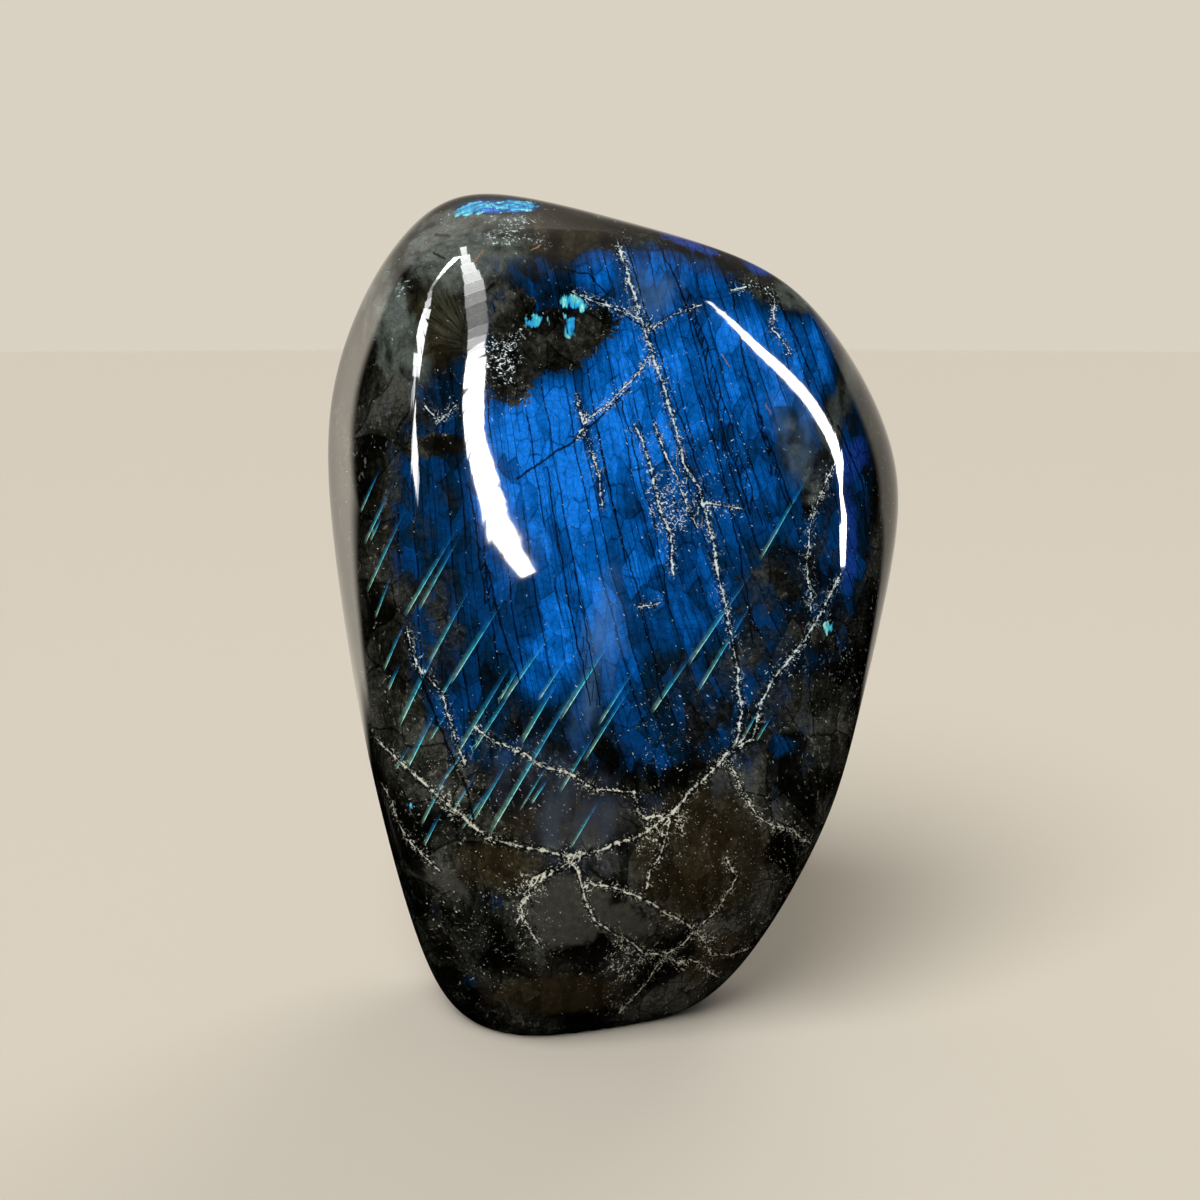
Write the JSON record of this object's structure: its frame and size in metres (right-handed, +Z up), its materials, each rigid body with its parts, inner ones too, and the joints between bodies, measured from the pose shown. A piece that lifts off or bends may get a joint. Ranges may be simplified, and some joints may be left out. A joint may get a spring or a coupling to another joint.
{
  "type": "labradorite freeform",
  "caption": "Polished dark blue labradorite freeform, a flat-sided upright stone with rounded edges that stands by itself on a small flat spot",
  "frame": {"origin": "under the middle of the stone's bounding box, on the surface it stands on", "axes": "+Z up along the stone's height, -Y out of the broad face that shows the blue flash, +X to the right of someone facing that face"},
  "size_m": [0.1278, 0.0718, 0.1849],
  "materials": {
    "labradorite": "polished"
  },
  "bodies": {
    "root": {"stone": "labradorite"}
  },
  "joints": []
}
